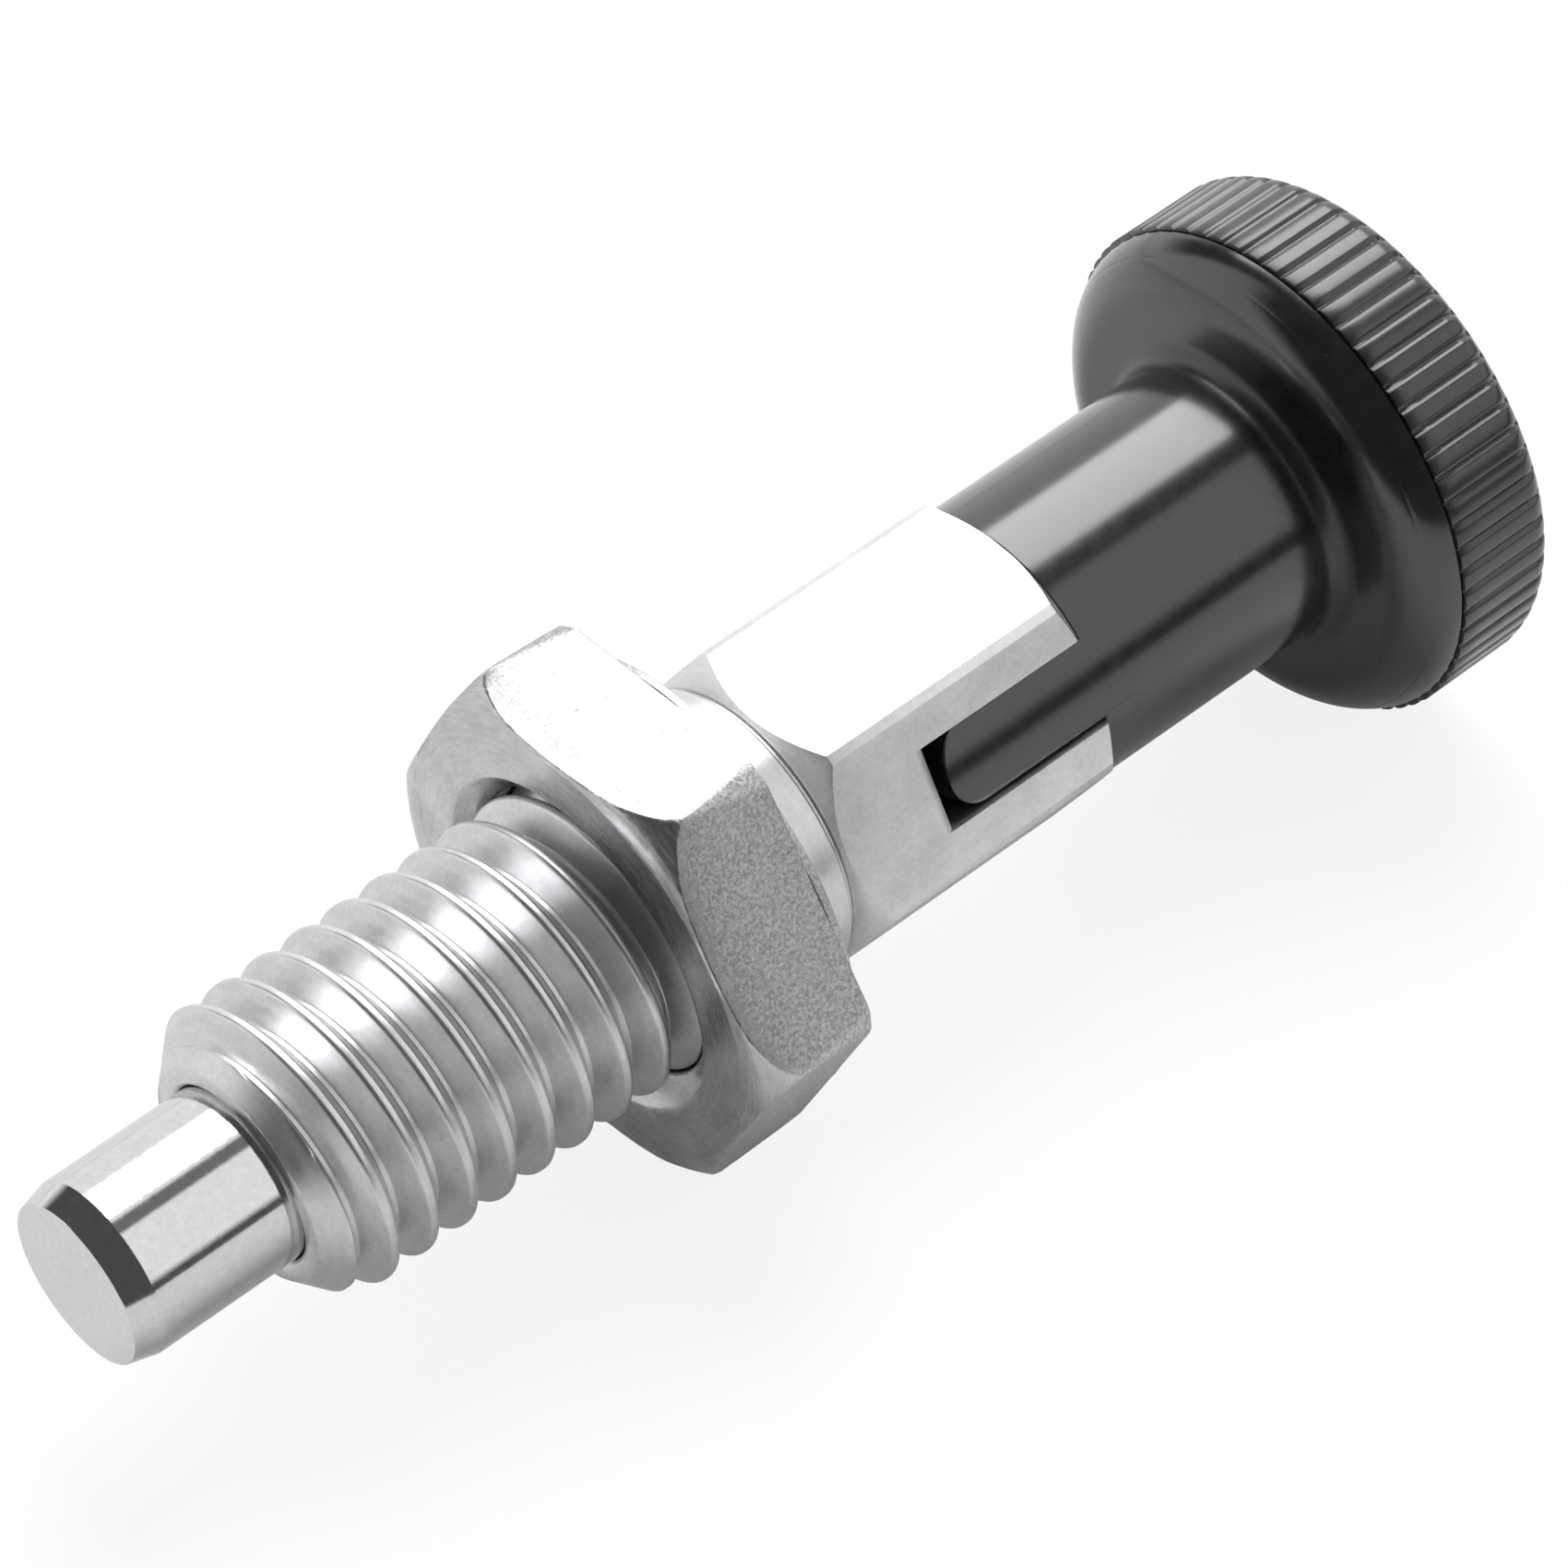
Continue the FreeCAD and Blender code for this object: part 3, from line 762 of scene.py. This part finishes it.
class Nodes:
    """A material's node tree, with short calls to add nodes and join them."""

    def __init__(self, name, colour, metallic, roughness):
        self.material = bpy.data.materials.new(name)
        self.material.use_nodes = True
        self.tree = self.material.node_tree
        self.shader = self.tree.nodes["Principled BSDF"]
        self.set("Base Color", (*colour, 1))
        self.set("Metallic", metallic)
        self.set("Roughness", roughness)

    def set(self, name, value):
        self.shader.inputs[name].default_value = value

    def drive(self, name, socket):
        self.tree.links.new(socket, self.shader.inputs[name])

    def add(self, kind, sockets=None, **settings):
        node = self.tree.nodes.new("ShaderNode" + kind)
        for key, value in settings.items():
            setattr(node, key, value)
        for key, value in (sockets or {}).items():
            if isinstance(value, bpy.types.NodeSocket):
                self.tree.links.new(value, node.inputs[key])
            else:
                node.inputs[key].default_value = value
        return node

    def maths(self, operation, a, b=0.0):
        return self.add("Math", {0: a, 1: b}, operation=operation).outputs[0]

    def plus(self, a, b):
        return self.maths("ADD", a, b)

    def times(self, a, b):
        return self.maths("MULTIPLY", a, b)

    def place(self):
        return self.add("TexCoord").outputs["Object"]

    def lathe_place(self):
        """The place along the axis, the radius, and the angle as a vector, for marks that a lathe leaves."""
        x, y, z = self.add("SeparateXYZ", {0: self.place()}).outputs
        radius = self.maths("SQRT", self.plus(self.times(y, y), self.times(z, z)))
        angle = self.times(self.maths("ARCTAN2", y, z), TURN_STRETCH)
        return self.add("CombineXYZ", {0: x, 1: radius, 2: angle}).outputs[0]

    def stretched(self, scale, turn=(0, 0, 0)):
        return self.add("Mapping", {0: self.place(), "Scale": scale, "Rotation": turn}).outputs[0]

    def noise(self, place, scale, detail=2.0, roughness=0.5):
        sockets = {"Vector": place, "Scale": scale, "Detail": detail, "Roughness": roughness}
        return self.add("TexNoise", sockets).outputs["Fac"]

    def ramp(self, value, span, out=(0, 1)):
        """A value spread from one span over another, and held at its ends."""
        sockets = {"Value": value, "From Min": span[0], "From Max": span[1]}
        sockets.update({"To Min": out[0], "To Max": out[1]})
        return self.add("MapRange", sockets, clamp=True).outputs[0]

    def shade(self, value, first, second):
        """A colour between two, at a share."""
        return self.add("Mix", {0: value, 6: (*first, 1), 7: (*second, 1)}, data_type="RGBA").outputs[2]

    def choose(self, value, first, second):
        """A number between two, at a share."""
        return self.add("Mix", {0: value, 2: first, 3: second}, data_type="FLOAT").outputs[0]

    def bump(self, height, strength, distance, normal=None):
        sockets = {"Height": height, "Strength": strength, "Distance": distance}
        if normal:
            sockets["Normal"] = normal
        return self.add("Bump", sockets).outputs[0]

    def scratches(self, turn, stretch, scale, amount):
        """Thin straight marks, 1 on a mark and 0 elsewhere."""
        lines = self.noise(self.stretched((1, stretch, stretch), turn), scale, detail=1.0)
        return self.ramp(lines, (amount, amount + SCRATCH_EDGE))


def steel_grey(level):
    """A grey with a touch of blue."""
    return (level, level, level + STEEL_BLUE)


def turned_steel():
    """Bright turned stainless: fine rings of the tool, a soft bloom, and worn brighter and duller patches."""
    made = Nodes("stud_steel", steel_grey(0.66), metallic=1, roughness=0.2)
    lathe = made.lathe_place()
    rings = made.noise(lathe, scale=16000, roughness=0.6)
    coarse = made.noise(lathe, scale=3500)
    bloom = made.noise(made.place(), scale=900, detail=3.0)
    patches = made.noise(made.place(), scale=5200, detail=4.0, roughness=0.65)
    made.drive("Roughness", made.ramp(made.plus(bloom, coarse), TWO_NOISES, out=(0.3, 0.4)))
    tone = made.ramp(made.plus(patches, coarse), TWO_NOISES)
    made.drive("Base Color", made.shade(tone, steel_grey(0.62), steel_grey(0.76)))
    normal = made.bump(rings, strength=0.35, distance=0.006 * MM)
    made.drive("Normal", made.bump(coarse, strength=0.12, distance=0.01 * MM, normal=normal))
    return made.material


def milled_steel():
    """The hexagon's drawn flats: a faint grain along the bar, cloudy stains and a fine mottle."""
    made = Nodes("hexagon_steel", steel_grey(0.7), metallic=1, roughness=0.25)
    grain = made.noise(made.stretched((0.12, 1, 1)), scale=9000, detail=3.0, roughness=0.6)
    cloud = made.noise(made.place(), scale=700, detail=4.0, roughness=0.6)
    fine = made.noise(made.place(), scale=6000, detail=4.0, roughness=0.7)
    made.drive("Roughness", made.ramp(made.plus(cloud, grain), TWO_NOISES, out=(0.34, 0.44)))
    tone = made.ramp(made.plus(cloud, fine), span=(0.8, 1.2))
    made.drive("Base Color", made.shade(tone, steel_grey(0.74), steel_grey(0.86)))
    normal = made.bump(grain, strength=0.2, distance=0.004 * MM)
    made.drive("Normal", made.bump(fine, strength=0.4, distance=0.015 * MM, normal=normal))
    return made.material


def nut_steel():
    """The nut: turned rings on its face and chamfers, and a fine pitted skin with scratches on its flats."""
    made = Nodes("nut_steel", steel_grey(0.6), metallic=1, roughness=0.28)
    slope = made.add("SeparateXYZ", {0: made.add("TexCoord").outputs["Normal"]}).outputs[0]
    on_turned = made.ramp(made.maths("ABSOLUTE", slope), span=(0.12, 0.2))
    rings = made.noise(made.lathe_place(), scale=9000, detail=3.0, roughness=0.65)
    pits = made.noise(made.place(), scale=8500, detail=5.0, roughness=0.75)
    cloud = made.noise(made.place(), scale=500, detail=3.0)
    along = made.scratches(turn=(0, 0, 0.6), stretch=14, scale=900, amount=0.72)
    leaning = made.scratches(turn=(0, 0.4, 0.2), stretch=18, scale=800, amount=0.73)
    marks = made.maths("MAXIMUM", along, leaning)
    flat_rough = made.ramp(made.plus(pits, cloud), TWO_NOISES, out=(0.3, 0.46))
    turned_rough = made.ramp(rings, ONE_NOISE, out=(0.18, 0.34))
    made.drive("Roughness", made.choose(on_turned, flat_rough, turned_rough))
    mottle = made.ramp(pits, span=(0.4, 0.6), out=(0.1, 0.85))
    flat_tone = made.maths("SUBTRACT", mottle, made.times(marks, 0.3))
    turned_tone = made.ramp(made.plus(rings, cloud), TWO_NOISES, out=(0.3, 0.85))
    tone = made.choose(on_turned, flat_tone, turned_tone)
    made.drive("Base Color", made.shade(tone, steel_grey(0.3), steel_grey(0.72)))
    flat_height = made.maths("SUBTRACT", pits, made.times(marks, 0.4))
    height = made.choose(on_turned, flat_height, made.times(rings, 0.5))
    made.drive("Normal", made.bump(height, strength=0.5, distance=0.03 * MM))
    return made.material


def ground_steel():
    """The pin: ground and polished, with hairline rings and faint smears."""
    made = Nodes("pin_steel", steel_grey(0.76), metallic=1, roughness=0.07)
    rings = made.noise(made.lathe_place(), scale=14000, detail=3.0, roughness=0.7)
    smear = made.noise(made.place(), scale=4200, detail=4.0, roughness=0.7)
    made.drive("Roughness", made.ramp(made.plus(rings, smear), span=(0.75, 1.3), out=(0.05, 0.12)))
    tone = made.ramp(smear, ONE_NOISE)
    made.drive("Base Color", made.shade(tone, steel_grey(0.62), steel_grey(0.72)))
    normal = made.bump(rings, strength=0.2, distance=0.004 * MM)
    made.drive("Normal", made.bump(smear, strength=0.12, distance=0.004 * MM, normal=normal))
    return made.material


def drawn_steel():
    """Spring wire and bush: plain drawn steel with a dull skin."""
    made = Nodes("drawn_steel", steel_grey(0.55), metallic=1, roughness=0.3)
    skin = made.noise(made.place(), scale=5000, detail=4.0, roughness=0.6)
    made.drive("Roughness", made.ramp(skin, ONE_NOISE, out=(0.22, 0.42)))
    made.drive("Base Color", made.shade(skin, steel_grey(0.45), steel_grey(0.62)))
    made.drive("Normal", made.bump(skin, strength=0.2, distance=0.01 * MM))
    return made.material


def black_plastic():
    """The knob: gloss black moulding with a soft skin and dust specks, duller on its ribs and flare."""
    made = Nodes("knob_plastic", (0.008, 0.008, 0.0085), metallic=0, roughness=0.18)
    made.set("IOR", 1.68)
    made.set("Coat Weight", 0.5)
    made.set("Coat Roughness", 0.14)
    skin = made.noise(made.place(), scale=1800, detail=4.0, roughness=0.6)
    fine = made.noise(made.place(), scale=9000, detail=3.0, roughness=0.6)
    dust = made.ramp(made.noise(made.place(), scale=2600, detail=1.0), span=(0.76, 0.8))
    along = made.add("SeparateXYZ", {0: made.place()}).outputs[0]
    ribbed = made.ramp(along, span=((RIB_START - 0.1) * MM, RIB_START * MM))
    from_flare = made.maths("ABSOLUTE", made.maths("SUBTRACT", along, (SHANK_END + FLARE_RADIUS / 2) * MM))
    flared = made.ramp(from_flare, span=(0.3 * MM, 0.5 * MM), out=(1, 0))
    gloss = made.ramp(made.plus(skin, fine), TWO_NOISES, out=(0.15, 0.22))
    dull = made.plus(made.times(ribbed, 0.12), made.times(flared, 0.17))
    made.drive("Roughness", made.plus(gloss, dull))
    bare = made.plus(flared, made.times(ribbed, 0.4))
    made.drive("Coat Weight", made.ramp(bare, span=(0, 1), out=(0.5, 0.1)))
    tone = made.plus(made.ramp(skin, ONE_NOISE, out=(0, 0.2)), made.times(dust, 0.6))
    made.drive("Base Color", made.shade(tone, PLASTIC_BLACK, PLASTIC_WORN))
    normal = made.bump(fine, strength=0.08, distance=0.006 * MM)
    made.drive("Normal", made.bump(skin, strength=0.12, distance=0.01 * MM, normal=normal))
    return made.material


def dress(piece, material):
    piece.data.materials.clear()
    piece.data.materials.append(material)


# Assembly

def place_pieces():
    """Makes the pieces, dresses each, ties it to its body and hides its CAD node; the slot listed with each
    is not used.
    """
    stud = make_stud()
    head = make_head()
    nut = make_nut()
    pin = make_pin()
    bush = make_bush()
    spring = make_spring()
    knob = make_knob()
    hub = make_hub()
    tongues = make_tongues()
    drawn = drawn_steel()
    plastic = black_plastic()
    for piece, body, node, slot, material in (
        (stud, "body", "threaded_body", "stud_steel", turned_steel()),
        (head, "body", "threaded_body", "stud_steel", milled_steel()),
        (nut, "nut", "lock_nut", "nut_steel", nut_steel()),
        (pin, "plunger", "index_pin", "pin_steel", ground_steel()),
        (bush, "body", "spring_retainer", "bush_steel", drawn),
        (spring, "body", "spring", "spring_steel", drawn),
        (knob, "plunger", "knob", "knob_plastic", plastic),
        (hub, "plunger", "knob", "knob_plastic", plastic),
        (tongues, "plunger", "knob", "knob_plastic", plastic),
    ):
        dress(piece, material)
        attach(piece, body)
        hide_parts(node)
    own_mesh(spring)


# Stage

def make_camera():
    data = bpy.data.cameras.new("camera")
    data.sensor_width = SENSOR
    data.sensor_fit = "HORIZONTAL"
    data.lens = LENS
    data.clip_start = CLIP_NEAR
    data.clip_end = CLIP_FAR
    camera = bpy.data.objects.new("camera", data)
    back = -Vector(CAMERA_FORWARD)
    turn = Matrix((Vector(CAMERA_RIGHT), Vector(CAMERA_UP), back)).transposed().to_4x4()
    camera.matrix_world = Matrix.Translation(Vector(CAMERA_PLACE) * MM) @ turn
    bpy.context.scene.collection.objects.link(camera)
    bpy.context.scene.camera = camera


def make_floor():
    """The floor, which touches the knob's rim and the nut's lowest flat."""
    mesh = bpy.data.meshes.new("floor")
    corners = [(-FLOOR_SIZE, -FLOOR_SIZE, 0), (FLOOR_SIZE, -FLOOR_SIZE, 0), (FLOOR_SIZE, FLOOR_SIZE, 0),
               (-FLOOR_SIZE, FLOOR_SIZE, 0)]
    mesh.from_pydata(corners, [], [(0, 1, 2, 3)])
    floor_piece = bpy.data.objects.new("floor", mesh)
    slope = atan((HEAD_RADIUS - NUT_FLATS / 2) / (RIB_START - NUT_FRONT))
    floor_piece.rotation_euler = (0, slope, 0)
    floor_piece.location = (RIB_START * MM, 0, -(HEAD_RADIUS + FLOOR_GAP) * MM)
    bpy.context.scene.collection.objects.link(floor_piece)
    dress(floor_piece, floor_material())


def floor_material():
    """Pale and matt, seen nearer white with the part's shadow kept; for reflections a painted shade darkens
    it far in front.
    """
    made = Nodes("floor", FLOOR_PALE, metallic=0, roughness=0.9)
    made.set("Specular IOR Level", 0)
    place = made.place()
    distance = made.add("VectorMath", {0: place}, operation="LENGTH").outputs["Value"]
    side = made.add("SeparateXYZ", {0: place}).outputs[1]
    ray = made.add("LightPath").outputs
    # Painted shade: only glossy rays see the floor's colour turn dark, far off and on the front side
    painted_shade_far = made.times(made.ramp(distance, FLOOR_SHADE_DISTANCES), made.ramp(side, FLOOR_SHADE_SIDE, out=(1, 0)))
    made.drive("Base Color", made.shade(made.times(painted_shade_far, ray["Is Glossy Ray"]), FLOOR_PALE, FLOOR_PAINTED_SHADE))
    seen = made.times(ray["Is Camera Ray"], FLOOR_WHITE)
    mirrored = made.times(ray["Is Glossy Ray"], FLOOR_MIRRORED)
    share = made.maths("MAXIMUM", seen, mirrored)
    glow = made.add("Emission", {"Color": (1, 1, 1, 1), "Strength": FLOOR_GLOW}).outputs[0]
    mix = made.add("MixShader", {0: share, 1: made.shader.outputs[0], 2: glow}).outputs[0]
    made.tree.links.new(mix, made.tree.nodes["Material Output"].inputs[0])
    return made.material


def lamp(name, place, target, size_x, size_y, power):
    data = bpy.data.lights.new(name, "AREA")
    data.shape = "RECTANGLE"
    data.size = size_x
    data.size_y = size_y
    data.energy = power
    light = bpy.data.objects.new(name, data)
    back = (Vector(place) - Vector(target)).normalized()
    across = back.cross(Vector((1, 0, 0))).normalized()
    turn = Matrix((across.cross(back), across, back)).transposed().to_4x4()
    light.matrix_world = Matrix.Translation(place) @ turn
    bpy.context.scene.collection.objects.link(light)


class Sky(Nodes):
    """The world's node tree, with the same short calls."""

    def __init__(self, name):
        self.world = bpy.data.worlds.new(name)
        self.world.use_nodes = True
        self.tree = self.world.node_tree

    def band(self, value, middle, half, soft, depth):
        """A dark band about one value, with soft edges."""
        off = self.maths("ABSOLUTE", self.maths("SUBTRACT", value, middle))
        return self.ramp(off, (half, half + soft), (depth, 0))


def make_light():
    """A white room with one soft key lamp, dark behind the camera, overhead and along the front horizon."""
    sky = Sky("room")
    bpy.context.scene.world = sky.world
    way = sky.add("TexCoord").outputs["Generated"]
    x, y, z = sky.add("SeparateXYZ", {0: way}).outputs
    toward = sky.add("VectorMath", {0: way, 1: CONE_WAY}, operation="DOT_PRODUCT").outputs["Value"]
    cone = sky.times(sky.ramp(toward, CONE_EDGE, (0, CONE_DEPTH)), sky.ramp(x, CONE_SIDE, (1, 0)))
    strip = sky.times(sky.band(x, *STRIP), sky.ramp(z, STRIP_RISE))
    tilt = sky.maths("ARCTAN2", sky.times(y, -1.0), z)
    gap = sky.times(sky.band(tilt, *GAP), sky.ramp(x, GAP_SIDE))
    horizon = sky.times(sky.band(z, *HORIZON), sky.ramp(y, HORIZON_SIDE, (1, 0)))
    dark = sky.maths("MAXIMUM", sky.maths("MAXIMUM", gap, horizon), sky.maths("MAXIMUM", strip, cone))
    colour = sky.shade(dark, ROOM_LIGHT, ROOM_DARK)
    sky.tree.links.new(colour, sky.tree.nodes["Background"].inputs["Color"])
    lamp("key", KEY_PLACE, KEY_TARGET, KEY_ALONG, KEY_ACROSS, KEY_POWER)


make_camera()
make_floor()
place_pieces()
make_light()
bpy.context.scene.view_settings.view_transform = "Standard"
